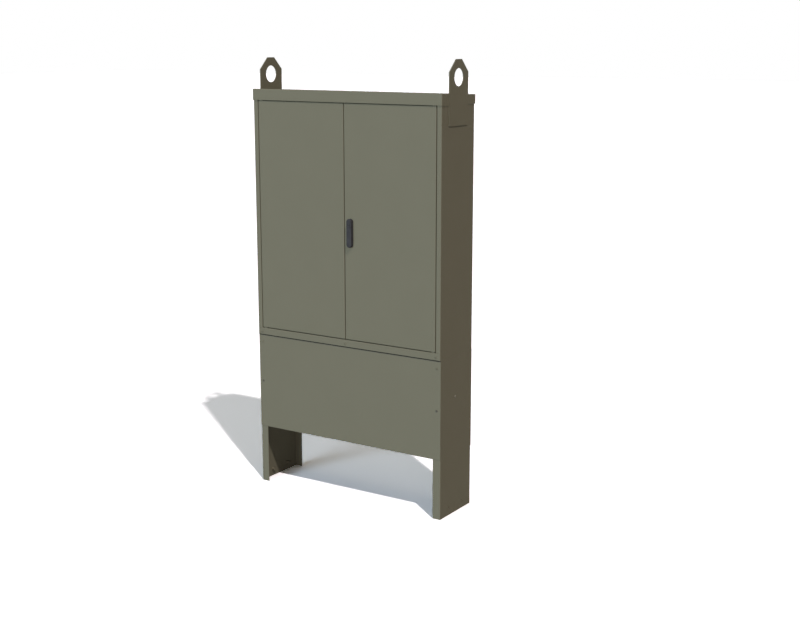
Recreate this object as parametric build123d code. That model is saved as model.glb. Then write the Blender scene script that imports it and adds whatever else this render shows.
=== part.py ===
from build123d import *
from math import cos, radians, sin
import os

# Telecom distribution cabinet: a shallow two-door steel cabinet on an open pedestal.
# Millimetres, +Z up, the doors face -Y, the origin is on the ground in the middle of the pedestal.

# Pedestal legs
base_width = 1000.0
base_depth = 268.0
base_height = 726.0
leg_sheet = 2.5
leg_bend = 3.5
leg_flange = 39.0
anchor_hole_radius = 4.25
anchor_spacing = 114.0
anchor_height = 35.0
anchor_nut_radius = 8.0
anchor_nut_length = 14.0
anchor_nut_end = 3.0

# Pedestal covers and rails
cover_sheet = 1.5
cover_bend = 3.0
cover_bottom = 275.0
cover_top_gap = 2.8
cover_return = 14.0
cover_return_clearance = 4.0
cover_screw_margin = 34.0
base_rail_height = 45.0
base_rail_width = 52.0
clamp_rail_drop = 186.0
clamp_rail_shift = -9.0
clamp_rail_width = 40.0
clamp_rail_depth = 22.0
clamp_rail_lip = 10.0
clamp_rail_sheet = 2.0
clamp_rail_bend = 3.0
clamp_rail_tab = 30.0

# Cabinet sheet work
cabinet_side_inset = 0.5
cabinet_front_overhang = 4.5
cabinet_back_inset = 1.0
sheet = 2.0
bend = 3.0
sill_height = 32.25
skirt_rise = 1091.0
head_height = 30.0
stile_width = 23.0
rear_flange = 25.0
post_width = 36.0
post_depth = 20.0

# Doors and their seal
door_gap = 3.5
door_depth = 20.0
door_hem = 28.0
meeting_hem = 16.0
gasket_inset = 14.0
gasket_width = 12.0
gasket_thickness = 8.0
gasket_clearance = 0.3
meeting_gasket_inset = 2.5
lip_spare = 2.0
stiffener_width = 80.0
stiffener_crown = 40.0
stiffener_depth = 14.0
stiffener_foot = 18.0
stiffener_sheet = 1.5
stiffener_bend = 3.0
stiffener_margin = 36.0

# Door pivots
hinge_inset = 13.0
pivot_radius = 5.0
pivot_clearance = 0.05
pivot_reach = 12.0
collar_radius = 9.0
collar_thickness = 2.0
collar_clearance = 0.1
rivet_radius = 6.5
rivet_thickness = 2.0
bush_wall = 2.0
bush_flange = 3.0

# Roof and lifting lugs
roof_sheet = 2.0
roof_bend = 4.0
roof_front_height = 50.0
roof_back_height = 38.0
roof_front_overhang = 4.0
roof_back_overhang = 8.0
roof_side_clearance = 0.5
roof_side_drop = 3.0
roof_support_width = 40.0
roof_support_side_inset = 148.0
roof_support_face_inset = 23.0
roof_seat_clearance = 0.1
lug_thickness = 4.0
lug_width = 156.0
lug_top_width = 47.0
lug_height = 277.5
lug_shoulder = 224.5
lug_hole_height = 202.5
lug_hole_radius = 38.0
lug_drop = 89.5
lug_corner = 4.0
lug_shift = -5.5
lug_notch_clearance = 0.6

# Swing handle
handle_x = 34.3
handle_width = 26.0
handle_length = 128.0
handle_rise = 521.0
handle_base_thickness = 6.0
handle_thickness = 10.7
handle_gap = 0.3
handle_edge = 3.0
handle_base_edge = 1.0
handle_screw_spacing = 44.0
hub_radius = 7.0
hub_clearance = 0.05
hub_drop = 20.0
hub_square = 9.0
boss_radius = 10.0
boss_reach = 3.0
boss_clearance = 0.3
lever_pin_radius = 2.0
lever_pin_inset = 1.0
lever_tongue = 12.0
lever_side_clearance = 0.2
lever_knuckle_clearance = 0.4

# Rod lock
rod_radius = 4.0
rod_clearance = 0.6
rod_guide_clearance = 0.3
keeper_clearance = 1.0
rod_end_inset = 1.0
crank_radius = 12.0
crank_start_deg = 45.0
crank_pin_radius = 3.0
crank_pin_clearance = 0.6
cam_thickness = 4.0
cam_width = 11.0
cam_clearance = 0.4
cam_screw_radius = 5.0
cam_screw_head = 3.2
cam_screw_shank = 2.5
cam_screw_length = 9.0
yoke_thickness = 4.0
yoke_inner = 6.0
yoke_wall = 4.0
yoke_neck = 16.0
yoke_bar = 12.0
guide_width = 26.0
guide_height = 18.0
guide_sheet = 2.0
guide_bend = 3.0
guide_offset = 140.0

# Hand bolts on the left door
bolt_length = 200.0
bolt_knob_share = 0.5
bolt_knob_radius = 5.0
bolt_knob_reach = 16.0
bolt_guide_length = 110.0
bolt_guide_offset = 26.0

# Fasteners
screw_radius = 3.0
screw_clearance = 0.3
screw_head_radius = 5.5
screw_head_height = 3.0
screw_length = 12.0
bolt_radius = 5.0
bolt_clearance = 0.5
bolt_head_flats = 16.0
bolt_head_height = 6.5
bolt_shank = 14.0
roof_bolt_shank = 7.5
frame_bolt_side_inset = 31.0
frame_bolt_face_inset = 43.0
sill_screw_inset = 23.0
sill_screw_rise = 14.5

# Cable entry
gland_side_clearance = 2.0
gland_plate_depth = 150.0
gland_plate_sheet = 3.0
gland_margin = 20.0
grommet_count = 6
grommet_radius = 34.0
grommet_lip = 4.0
grommet_lip_height = 4.0
grommet_cone_height = 14.0
grommet_tip_radius = 16.0

# Equipment frame
upright_side_inset = 76.0
upright_width = 40.0
upright_depth = 30.0
upright_back_inset = 33.0
mounting_rail_height = 50.0
mounting_rail_depth = 20.0
lower_rail_rise = 384.0
upper_rail_rise = 874.0
module_frame_count = 4
module_frame_width = 90.0
module_frame_depth = 28.0
module_frame_spare = 30.0
module_width = 124.0
module_depth = 38.0
module_height = 22.0
module_pitch = 30.0
module_count = 18

# Earth bar
earth_bar_length = 300.0
earth_bar_height = 25.0
earth_bar_thickness = 5.0
earth_bar_rise = 124.0
earth_support_radius = 12.0
earth_support_length = 40.0
earth_support_inset = 25.0
earth_screw_count = 7
earth_screw_radius = 4.0
earth_screw_clearance = 0.05
earth_screw_head_radius = 6.5
earth_screw_head_height = 5.0

# One overrun for every cut
overrun = 10.0

# Connection module outline: shares of its depth from the back, shares of its height from the middle
module_outline_shares = [
    (0.0, -0.5), (0.45, -0.5), (0.55, -0.42), (1.0, -0.42), (1.0, -0.12), (0.72, -0.12),
    (0.72, 0.12), (1.0, 0.12), (1.0, 0.42), (0.55, 0.42), (0.45, 0.5), (0.0, 0.5),
]

# Levels and planes shared by the pieces
leg_front = -base_depth / 2 + cover_sheet
leg_back = base_depth / 2 - cover_sheet
cover_top = base_height - cover_top_gap
front = -base_depth / 2 - cabinet_front_overhang
back = base_depth / 2 - cabinet_back_inset
half_width = base_width / 2 - cabinet_side_inset
half_inside = half_width - sheet
sill_top = base_height + sill_height
skirt_bottom = base_height + skirt_rise
top_level = skirt_bottom + head_height
door_bottom = sill_top + door_gap
door_top = skirt_bottom - door_gap
door_edge = half_width - stile_width - door_gap
door_meeting = door_gap / 2
door_back = front + door_depth
lip_front = door_back + gasket_thickness + gasket_clearance
lip_back = lip_front + sheet
lip_width = door_gap + gasket_inset + gasket_width + lip_spare
sill_lip_top = sill_top + lip_width
head_lip_bottom = skirt_bottom - lip_width
side_flange_back = back - sheet
tray_back = side_flange_back - bend
hinge_x = door_edge - hinge_inset
hinge_y = front + door_depth / 2
roof_front = front - roof_front_overhang
roof_back = back + roof_back_overhang
roof_half_width = half_width + roof_side_clearance + roof_sheet
lug_bottom = skirt_bottom - lug_drop
rod_y = door_back - sheet - rod_clearance - rod_radius
handle_middle = base_height + handle_rise
handle_top = handle_middle + handle_length / 2
hub_z = handle_top - handle_width / 2
handle_seat = front - handle_base_thickness - handle_gap
lever_pin_y = handle_seat - handle_thickness / 2
lever_pin_z = hub_z - hub_drop
knuckle_radius = handle_thickness / 2
yoke_front = rod_y - yoke_thickness / 2
cam_back = yoke_front - cam_clearance
cam_front = cam_back - cam_thickness
roof_support_x = half_width - roof_support_side_inset
roof_support_length = back - front - roof_support_face_inset * 2
upright_x = half_inside - upright_side_inset
upright_back = side_flange_back - upright_back_inset
upright_inner = upright_x - upright_width / 2
upright_outer = upright_x + upright_width / 2
rail_front = upright_back - upright_depth - mounting_rail_depth
lower_rail_level = base_height + lower_rail_rise
upper_rail_level = base_height + upper_rail_rise
frame_front = rail_front - module_frame_depth
module_frame_pitch = upright_outer * 2 / module_frame_count
gland_plate_width = (upright_inner - gland_side_clearance) * 2
earth_bar_level = base_height + earth_bar_rise
clamp_rail_level = base_height - clamp_rail_drop
frame_bolt_x = half_inside - frame_bolt_side_inset
frame_bolt_y = base_depth / 2 - frame_bolt_face_inset
sill_screw_x = half_width - sill_screw_inset
cover_screw_x = (base_width - leg_flange) / 2
cover_screw_levels = (
    (cover_bottom + cover_top) / 2,
    cover_top - cover_screw_margin,
)

MIDDLE = (Align.CENTER, Align.CENTER, Align.CENTER)
ON_END = (Align.CENTER, Align.CENTER, Align.MIN)
FORWARD = (0, -1, 0)
BACKWARD = (0, 1, 0)
UP = (0, 0, 1)
DOWN = (0, 0, -1)
RIGHT = (1, 0, 0)
LEFT = (-1, 0, 0)


def box(x0, x1, y0, y1, z0, z1):
    """A block between two corners."""
    block = Box(x1 - x0, y1 - y0, z1 - z0, align=MIDDLE)
    return Pos((x0 + x1) / 2, (y0 + y1) / 2, (z0 + z1) / 2) * block


def along(point, direction):
    """A plane at a point, with its normal along a direction."""
    side = RIGHT if direction in (FORWARD, BACKWARD, UP, DOWN) else BACKWARD
    return Plane(origin=point, x_dir=side, z_dir=direction)


def rod(point, direction, radius, length):
    """A round rod that starts at a point and runs along a direction."""
    return along(point, direction) * Cylinder(radius, length, align=ON_END)


def folded(points, thickness, radius, side):
    """The section of a folded sheet, from the line of one of its faces."""
    line = FilletPolyline(*points, radius=radius)
    return make_face(offset(line, amount=thickness, side=side))


def across(section, half_length):
    """A section drawn in Y and Z, run both ways along X."""
    return extrude(Plane.YZ * section, half_length, both=True)


def upwards(section, low, high):
    """A section drawn in X and Y, run from one level up to another."""
    return Pos(0, 0, low) * extrude(section, high - low)


def mirrored(shape):
    """The left-hand twin of a right-hand piece."""
    return mirror(shape, about=Plane.YZ)


def group(shapes):
    """Separate like solids that share one node."""
    return Compound(children=list(shapes))


def screw(point, direction):
    """A pan-head screw seated at a point, its head outwards along the direction."""
    outline = Polyline(
        (0, -screw_length), (screw_radius, -screw_length), (screw_radius, 0), (screw_head_radius, 0),
        (screw_head_radius, screw_head_height / 2), (screw_head_radius / 2, screw_head_height),
        (0, screw_head_height), close=True,
    )
    return along(point, direction) * revolve(Plane.XZ * make_face(outline), Axis.Z)


def screw_hole(point, direction):
    """The clearance hole of a screw, through the sheets that it holds."""
    start = Vector(*point) + Vector(*direction) * overrun
    return rod(tuple(start), tuple(-part for part in direction), screw_radius + screw_clearance,
               screw_length + overrun)


def hex_bolt(point, direction, length):
    """A hexagon bolt seated at a point, its head outwards along the direction."""
    head = extrude(RegularPolygon(bolt_head_flats / 2, 6, major_radius=False), bolt_head_height)
    shank = Pos(0, 0, -length) * Cylinder(bolt_radius, length, align=ON_END)
    return along(point, direction) * (head + shank)


def bolt_hole(x, y, level):
    """The clearance hole of a frame bolt, through the sheets at one level."""
    radius = bolt_radius + bolt_clearance
    return Pos(x, y, level) * Cylinder(radius, bolt_shank + overrun, align=MIDDLE)


def corners(x, y):
    """The four places at plus and minus x and y."""
    return [(x, y), (-x, y), (x, -y), (-x, -y)]


def right_leg():
    """C-section leg with two blind weld nuts at the foot and the clamp rail's screw hole."""
    outer = base_width / 2
    inner = outer - leg_flange
    section = folded([(inner, leg_front), (outer, leg_front), (outer, leg_back), (inner, leg_back)],
                     leg_sheet, leg_bend, Side.LEFT)
    leg = upwards(section, 0, base_height)
    for y in (-anchor_spacing / 2, anchor_spacing / 2):
        leg += rod((outer - leg_sheet, y, anchor_height), LEFT, anchor_nut_radius, anchor_nut_length)
        leg -= rod((outer + overrun, y, anchor_height), LEFT, anchor_hole_radius,
                   overrun + leg_sheet + anchor_nut_length - anchor_nut_end)
    leg -= screw_hole((outer, clamp_rail_shift, clamp_rail_level), RIGHT)
    for z in cover_screw_levels:
        leg -= screw_hole((cover_screw_x, -base_depth / 2, z), FORWARD)
        leg -= screw_hole((cover_screw_x, base_depth / 2, z), BACKWARD)
    return leg


def front_base_rail():
    """Angle that ties the legs at the top and carries the cabinet's floor."""
    seat = leg_front + leg_sheet
    section = folded([(seat, base_height - base_rail_height), (seat, base_height),
                      (seat + base_rail_width, base_height)], leg_sheet, leg_bend, Side.RIGHT)
    rail = across(section, base_width / 2 - leg_bend)
    for x in (-cover_screw_x, cover_screw_x):
        rail -= screw_hole((x, -base_depth / 2, cover_screw_levels[-1]), FORWARD)
    for x, y in corners(frame_bolt_x, frame_bolt_y):
        rail -= bolt_hole(x, y, base_height)
    return rail


def base_front_cover():
    """Removable cover over the leg flanges, with a stiffening return between the legs."""
    face = -base_depth / 2
    inside = face + cover_return
    section = folded([(inside, cover_bottom), (face, cover_bottom), (face, cover_top)],
                     cover_sheet, cover_bend, Side.RIGHT)
    cover = across(section, base_width / 2)
    legs = base_width / 2 - leg_flange - cover_return_clearance
    for side in (-1, 1):
        ends = sorted((side * legs, side * (base_width / 2 + overrun)))
        cover -= box(*ends, leg_front, inside + overrun, cover_bottom - overrun, cover_top + overrun)
    for x in (-cover_screw_x, cover_screw_x):
        for z in cover_screw_levels:
            cover -= screw_hole((x, face, z), FORWARD)
    return cover


def cover_screws():
    """The screws of both covers."""
    places = [(x, z) for x in (-cover_screw_x, cover_screw_x) for z in cover_screw_levels]
    front_row = [screw((x, -base_depth / 2, z), FORWARD) for x, z in places]
    back_row = [screw((x, base_depth / 2, z), BACKWARD) for x, z in places]
    return group(front_row + back_row)


def cable_clamp_rail():
    """Lipped channel between the legs, with a folded tab at each end for its screw."""
    half = clamp_rail_width / 2
    low = clamp_rail_level - clamp_rail_depth / 2
    high = low + clamp_rail_depth
    section = folded([(-half + clamp_rail_lip, high), (-half, high), (-half, low), (half, low),
                      (half, high), (half - clamp_rail_lip, high)],
                     clamp_rail_sheet, clamp_rail_bend, Side.LEFT)
    end = base_width / 2 - leg_sheet
    rail = across(section, end)
    for side in (-1, 1):
        ends = sorted((side * (end - clamp_rail_sheet), side * end))
        rail += box(*ends, -clamp_rail_tab / 2, clamp_rail_tab / 2, low, low + clamp_rail_tab)
        rail -= screw_hole((side * base_width / 2, 0, clamp_rail_level), RIGHT if side > 0 else LEFT)
    return Pos(0, clamp_rail_shift, 0) * rail


def floor_tray():
    """Floor, sill, rebate and gasket lip folded from one sheet, with the cable entry cut out."""
    section = folded([(lip_front, sill_lip_top), (lip_front, sill_top), (front, sill_top),
                      (front, base_height), (tray_back, base_height),
                      (tray_back, base_height + rear_flange)],
                     sheet, bend, Side.LEFT)
    tray = across(section, half_inside)
    entry_x = gland_plate_width / 2 - gland_margin
    entry_y = gland_plate_depth / 2 - gland_margin
    tray -= box(-entry_x, entry_x, -entry_y, entry_y, base_height - overrun, base_height + overrun)
    for x in (-handle_x, handle_x):
        tray -= rod((x, rod_y, sill_top - overrun), UP, rod_radius + keeper_clearance, overrun * 2)
    for x in (-hinge_x, hinge_x):
        tray -= rod((x, hinge_y, sill_top - overrun), UP, pivot_radius + pivot_clearance, overrun * 2)
    for x in (-sill_screw_x, 0, sill_screw_x):
        tray -= screw_hole((x, front, base_height + sill_screw_rise), FORWARD)
    for x, y in corners(frame_bolt_x, frame_bolt_y):
        tray -= bolt_hole(x, y, base_height)
    return tray


def top_tray():
    """Top plate, head, rebate and gasket lip folded from one sheet."""
    section = folded([(lip_front, head_lip_bottom), (lip_front, skirt_bottom), (front, skirt_bottom),
                      (front, top_level), (tray_back, top_level), (tray_back, top_level - rear_flange)],
                     sheet, bend, Side.RIGHT)
    tray = across(section, half_inside)
    for x in (-handle_x, handle_x):
        tray -= rod((x, rod_y, skirt_bottom - overrun), UP, rod_radius + keeper_clearance, overrun * 2)
    for x in (-hinge_x, hinge_x):
        tray -= rod((x, hinge_y, skirt_bottom - overrun), UP, pivot_radius + pivot_clearance, overrun * 2)
    for x, y in corners(roof_support_x, roof_support_length / 4):
        tray -= bolt_hole(x, y, top_level)
    return tray


def right_side_panel():
    """Side wall, stile, rebate, gasket lip and rear flange folded from one sheet."""
    stile = half_width - stile_width
    section = folded([(stile - lip_width, lip_front), (stile, lip_front), (stile, front),
                      (half_width, front), (half_width, side_flange_back),
                      (half_width - rear_flange, side_flange_back)], sheet, bend, Side.LEFT)
    panel = upwards(section, base_height, top_level)
    rebate = (0, half_inside, front - overrun, lip_back + overrun)
    panel -= box(*rebate, base_height - overrun, sill_top)
    panel -= box(*rebate, skirt_bottom, top_level + overrun)
    lip = (0, half_inside, lip_front - bend, lip_back + overrun)
    panel -= box(*lip, base_height, sill_lip_top)
    panel -= box(*lip, head_lip_bottom, top_level)
    return panel


def back_panel():
    """Flat back sheet over the side panels' rear flanges."""
    return box(-half_width, half_width, side_flange_back, back, base_height, top_level)


def centre_post():
    """Channel behind the meeting edges that both gaskets close on."""
    half = post_width / 2
    rear = lip_front + post_depth
    section = folded([(-half, rear), (-half, lip_front), (half, lip_front), (half, rear)],
                     sheet, bend, Side.LEFT)
    return upwards(section, sill_lip_top, head_lip_bottom)


def roof_under(y):
    """Level of a seat just under the roof sheet at a depth."""
    slope = (roof_back_height - roof_front_height) / (roof_back - roof_front)
    return skirt_bottom + roof_front_height - roof_sheet - roof_seat_clearance + slope * (y - roof_front)


def roof():
    """Cap that falls to the back, its skirt cut back over the doors and notched for the lugs."""
    low = skirt_bottom - roof_side_drop
    high = skirt_bottom + roof_front_height
    outline = Polyline((roof_front, low), (roof_front, high), (roof_back, skirt_bottom + roof_back_height),
                       (roof_back, low), close=True)
    cap = across(make_face(outline), roof_half_width)
    top_face = cap.faces().sort_by(Axis.Z)[-1]
    uprights = cap.edges().filter_by(Axis.Z)
    cap = fillet(top_face.edges() + uprights, roof_bend)
    cap = offset(cap, amount=-roof_sheet, openings=cap.faces().sort_by(Axis.Z)[0])
    reach = roof_half_width + overrun
    cap -= box(-reach, reach, roof_front - overrun, front, low - overrun, skirt_bottom)
    half = lug_width / 2 + lug_notch_clearance
    for side in (-1, 1):
        ends = sorted((side * (half_width - lug_notch_clearance), side * reach))
        cap -= box(*ends, lug_shift - half, lug_shift + half, low - overrun, high + overrun)
    return cap


def roof_supports():
    """Two folded strips, closed on themselves, that hold the roof at its fall."""
    half = roof_support_length / 2
    outline = make_face(Polyline((-half, top_level), (half, top_level), (half, roof_under(half)),
                                 (-half, roof_under(-half)), close=True))
    section = outline - offset(outline, amount=-sheet, kind=Kind.INTERSECTION)
    strip = across(section, roof_support_width / 2)
    supports = []
    for side in (-1, 1):
        support = Pos(side * roof_support_x, 0, 0) * strip
        for y in (-roof_support_length / 4, roof_support_length / 4):
            support -= rod((side * roof_support_x, y, top_level - overrun), UP,
                           bolt_radius + bolt_clearance, overrun + sheet * 2)
        supports.append(support)
    return group(supports)


def right_lifting_lug():
    """Flat plate on the side wall, drawn in to a narrow top round its lifting hole."""
    half = lug_width / 2
    top = lug_top_width / 2
    outline = Polyline((-half, 0), (half, 0), (half, lug_shoulder), (top, lug_height), (-top, lug_height),
                       (-half, lug_shoulder), close=True)
    plate = fillet(make_face(outline).vertices(), lug_corner)
    plate -= Pos(0, lug_hole_height) * Circle(lug_hole_radius)
    seat = Plane(origin=(half_width, lug_shift, lug_bottom), x_dir=BACKWARD, z_dir=RIGHT)
    return extrude(seat * plate, lug_thickness)


def frame_bolts():
    """Bolts that hold the cabinet on the pedestal and the roof supports on the top plate."""
    floor = base_height + sheet
    ceiling = top_level - sheet
    roof_places = corners(roof_support_x, roof_support_length / 4)
    low = [hex_bolt((x, y, floor), UP, bolt_shank) for x, y in corners(frame_bolt_x, frame_bolt_y)]
    high = [hex_bolt((x, y, ceiling), DOWN, roof_bolt_shank) for x, y in roof_places]
    return group(low + high)


def sill_screws():
    """Screws in the face of the sill."""
    return group(screw((x, front, base_height + sill_screw_rise), FORWARD)
                 for x in (-sill_screw_x, 0, sill_screw_x))


def hinge_pin(x, level, direction):
    """Pivot riveted into a rebate sheet: rivet head, stem, collar and pin in one turned piece."""
    gap = door_gap - collar_thickness - collar_clearance
    tip = collar_thickness + collar_clearance + gap + sheet + pivot_reach
    outline = Polyline(
        (0, -sheet - rivet_thickness), (rivet_radius, -sheet - rivet_thickness), (rivet_radius, -sheet),
        (pivot_radius, -sheet), (pivot_radius, 0), (collar_radius, 0), (collar_radius, collar_thickness),
        (pivot_radius, collar_thickness), (pivot_radius, tip), (0, tip), close=True,
    )
    return along((x, hinge_y, level), direction) * revolve(Plane.XZ * make_face(outline), Axis.Z)


def hinge_pins():
    """The four door pivots, two on the sill and two under the head."""
    low = [hinge_pin(x, sill_top, UP) for x in (-hinge_x, hinge_x)]
    high = [hinge_pin(x, skirt_bottom, DOWN) for x in (-hinge_x, hinge_x)]
    return group(low + high)


def hinge_bush(x, level, direction):
    """Flanged plain bush in a door's end return, running on its pivot."""
    bore = pivot_radius + pivot_clearance
    outer = bore + bush_wall
    flange = door_gap - collar_thickness - collar_clearance
    outline = Polyline(
        (bore, -flange), (outer + bush_flange, -flange), (outer + bush_flange, 0), (outer, 0),
        (outer, sheet + pivot_reach / 2), (bore, sheet + pivot_reach / 2), close=True,
    )
    return along((x, hinge_y, level), direction) * revolve(Plane.XZ * make_face(outline), Axis.Z)


def hinge_bushes(x):
    """The lower and upper bush of one door."""
    return group([hinge_bush(x, door_bottom, UP), hinge_bush(x, door_top, DOWN)])


def right_door_pan():
    """Door sheet folded back on four edges and hemmed, with its pivot and rod holes."""
    shell = box(door_meeting, door_edge, front, door_back, door_bottom, door_top)
    face = shell.faces().sort_by(Axis.Y)[0]
    shell = fillet(face.edges(), bend)
    shell -= box(door_meeting + sheet, door_edge - sheet, front + sheet, door_back - sheet,
                 door_bottom + sheet, door_top - sheet)
    shell -= box(door_meeting + meeting_hem, door_edge - door_hem, front + sheet, door_back + overrun,
                 door_bottom + door_hem, door_top - door_hem)
    bush = pivot_radius + pivot_clearance + bush_wall
    for level in (door_bottom, door_top):
        shell -= rod((hinge_x, hinge_y, level - overrun), UP, bush, overrun * 2)
        shell -= rod((handle_x, rod_y, level - overrun), UP, rod_radius + rod_guide_clearance, overrun * 2)
    return shell


def handle_screw_places():
    """Places of the screws that hold the handle base from inside the door."""
    return [(handle_x, front + sheet, z) for z in (handle_middle, handle_middle - handle_screw_spacing)]


def right_door():
    """Right-hand door pan with the holes of its handle."""
    door = right_door_pan()
    door -= rod((handle_x, front - overrun, hub_z), BACKWARD, boss_radius + boss_clearance, overrun * 2)
    for place in handle_screw_places():
        door -= screw_hole(place, BACKWARD)
    return door


def right_door_stiffener():
    """Hat section down the middle of the door sheet."""
    middle = (door_meeting + door_edge) / 2
    seat = front + sheet
    crown = seat + stiffener_depth
    half = stiffener_width / 2
    top = stiffener_crown / 2
    foot = half - stiffener_foot
    section = folded([(middle - half, seat), (middle - foot, seat), (middle - top, crown),
                      (middle + top, crown), (middle + foot, seat), (middle + half, seat)],
                     stiffener_sheet, stiffener_bend, Side.LEFT)
    return upwards(section, door_bottom + stiffener_margin, door_top - stiffener_margin)


def right_door_gasket():
    """Foam seal round the back of the door, on its hem."""
    left = door_meeting + meeting_gasket_inset
    right = door_edge - gasket_inset
    low = door_bottom + gasket_inset
    high = door_top - gasket_inset
    rear = door_back + gasket_thickness
    ring = box(left, right, door_back, rear, low, high)
    ring -= box(left + gasket_width, right - gasket_width, door_back - overrun, rear + overrun,
                low + gasket_width, high - gasket_width)
    return ring


def handle_outline():
    """The handle's long rounded outline, seen from the front."""
    return Rot(0, 0, 90) * SlotOverall(handle_length, handle_width)


def handle_base():
    """Base plate of the swing handle, with the hub's bearing boss through the door."""
    seat = Plane(origin=(handle_x, front, handle_middle), x_dir=RIGHT, z_dir=FORWARD)
    plate = extrude(seat * handle_outline(), handle_base_thickness)
    outer = plate.faces().sort_by(Axis.Y)[0]
    plate = fillet(outer.edges(), handle_base_edge)
    plate += rod((handle_x, front - handle_base_thickness / 2, hub_z), BACKWARD, boss_radius,
                 handle_base_thickness / 2 + sheet + boss_reach)
    plate -= rod((handle_x, front - handle_base_thickness - overrun, hub_z), BACKWARD,
                 hub_radius + hub_clearance, handle_base_thickness + sheet + boss_reach + overrun * 2)
    for x, y, z in handle_screw_places():
        plate -= rod((x, front - handle_base_thickness / 2 - screw_radius / 2, z), BACKWARD,
                     screw_radius + hub_clearance, handle_base_thickness)
    return plate


def handle_screws():
    """Short screws from inside the door into the handle base."""
    length = sheet + handle_base_thickness / 2
    screws = []
    for place in handle_screw_places():
        head = rod(place, BACKWARD, screw_head_radius, screw_head_height)
        screws.append(head + rod(place, FORWARD, screw_radius, length))
    return group(screws)


def handle_bar():
    """The whole handle bar over its base, before it is parted into hub and lever."""
    seat = Plane(origin=(handle_x, handle_seat, handle_middle), x_dir=RIGHT, z_dir=FORWARD)
    bar = extrude(seat * handle_outline(), handle_thickness)
    outer = bar.faces().sort_by(Axis.Y)[0]
    return fillet(outer.edges(), handle_edge)


def knuckle(half_length, radius):
    """A round block about the lever's pin."""
    return rod((handle_x - half_length, lever_pin_y, lever_pin_z), RIGHT, radius, half_length * 2)


def lever_pin_hole():
    """The hole of the lever's pin, through the ears and the tongue."""
    return knuckle(handle_width, lever_pin_radius + hub_clearance)


def handle_hub():
    """Turning head of the handle: a forked cap, a round stem and a square for the cam."""
    bottom = handle_middle - handle_length / 2
    wide = (handle_x - handle_width, handle_x + handle_width)
    deep = (handle_seat - handle_thickness - overrun, handle_seat + overrun)
    bar = handle_bar()
    head = bar - box(*wide, *deep, bottom - overrun, lever_pin_z)
    head += bar & knuckle(handle_width / 2, knuckle_radius)
    slot = lever_tongue / 2 + lever_side_clearance
    throat = lever_pin_z + knuckle_radius + lever_knuckle_clearance
    head -= box(handle_x - slot, handle_x + slot, *deep, bottom, throat)
    head -= lever_pin_hole()
    head += rod((handle_x, handle_seat, hub_z), BACKWARD, hub_radius, cam_front - handle_seat)
    square = along((handle_x, cam_front, hub_z), BACKWARD) * Rectangle(hub_square, hub_square)
    head += extrude(square, cam_thickness)
    head -= rod((handle_x, cam_back, hub_z), FORWARD, cam_screw_shank + hub_clearance,
                cam_screw_length + hub_clearance)
    return head


def lever_pin():
    """Cross pin that the lever flips on."""
    return knuckle(handle_width / 2 - lever_pin_inset - handle_edge, lever_pin_radius)


def handle_lever():
    """Flip-out lever with a rounded tongue between the hub's ears."""
    shoulder = lever_pin_z - knuckle_radius - lever_knuckle_clearance
    wide = (handle_x - handle_width, handle_x + handle_width)
    deep = (handle_seat - handle_thickness - overrun, handle_seat + overrun)
    lever = handle_bar() - box(*wide, *deep, shoulder, handle_top + overrun)
    half = lever_tongue / 2
    lever += knuckle(half, knuckle_radius)
    lever += box(handle_x - half, handle_x + half, handle_seat - handle_thickness, handle_seat,
                 shoulder, lever_pin_z)
    lever -= lever_pin_hole()
    return lever


def lock_cam():
    """Two-armed cam on the hub's square, with a crank pin on each arm."""
    seat = Plane(origin=(handle_x, cam_front, hub_z), x_dir=RIGHT, z_dir=BACKWARD)
    arms = Rot(0, 0, crank_start_deg) * SlotCenterToCenter(crank_radius * 2, cam_width)
    hole = Rectangle(hub_square + hub_clearance * 2, hub_square + hub_clearance * 2)
    hub = Circle(hub_square)
    cam = extrude(seat * (arms + hub - hole), cam_thickness)
    reach_x = crank_radius * cos(radians(crank_start_deg))
    reach_z = crank_radius * sin(radians(crank_start_deg))
    for side in (-1, 1):
        pin = (handle_x + side * reach_x, cam_front, hub_z - side * reach_z)
        cam += rod(pin, BACKWARD, crank_pin_radius, cam_thickness + yoke_thickness + cam_clearance * 2)
    return cam


def cam_screw():
    """Screw that keeps the cam on the hub."""
    head = rod((handle_x, cam_back, hub_z), BACKWARD, cam_screw_radius, cam_screw_head)
    return head + rod((handle_x, cam_back, hub_z), FORWARD, cam_screw_shank, cam_screw_length)


def lock_rod(reach):
    """Rod with a forked yoke round a crank pin, drawn for the upper rod about the hub's axis."""
    slot_half = crank_pin_radius + crank_pin_clearance
    slot_end = crank_radius + slot_half
    outer = slot_end + yoke_wall
    prong = slot_half + yoke_wall
    neck = slot_half + yoke_neck
    level = -crank_radius * sin(radians(crank_start_deg))
    fork = make_face(Polyline(
        (yoke_inner, -prong), (outer, -prong), (outer, neck + yoke_bar), (-yoke_inner, neck + yoke_bar),
        (-yoke_inner, neck), (slot_end, neck), (slot_end, prong), (yoke_inner, prong),
        (yoke_inner, slot_half), (slot_end, slot_half), (slot_end, -slot_half), (yoke_inner, -slot_half),
        close=True,
    ))
    seat = Plane(origin=(0, yoke_thickness / 2, level), x_dir=RIGHT, z_dir=FORWARD)
    start = level + neck + yoke_bar / 2
    return extrude(seat * fork, yoke_thickness) + rod((0, 0, start), UP, rod_radius, reach - start)


def upper_lock_rod():
    """Rod from the cam to the head, drawn back."""
    return Pos(handle_x, rod_y, hub_z) * lock_rod(door_top - rod_end_inset - hub_z)


def lower_lock_rod():
    """Rod from the cam to the sill, drawn back."""
    turned = Rot(0, 180, 0) * lock_rod(hub_z - door_bottom - rod_end_inset)
    return Pos(handle_x, rod_y, hub_z) * turned


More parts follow.
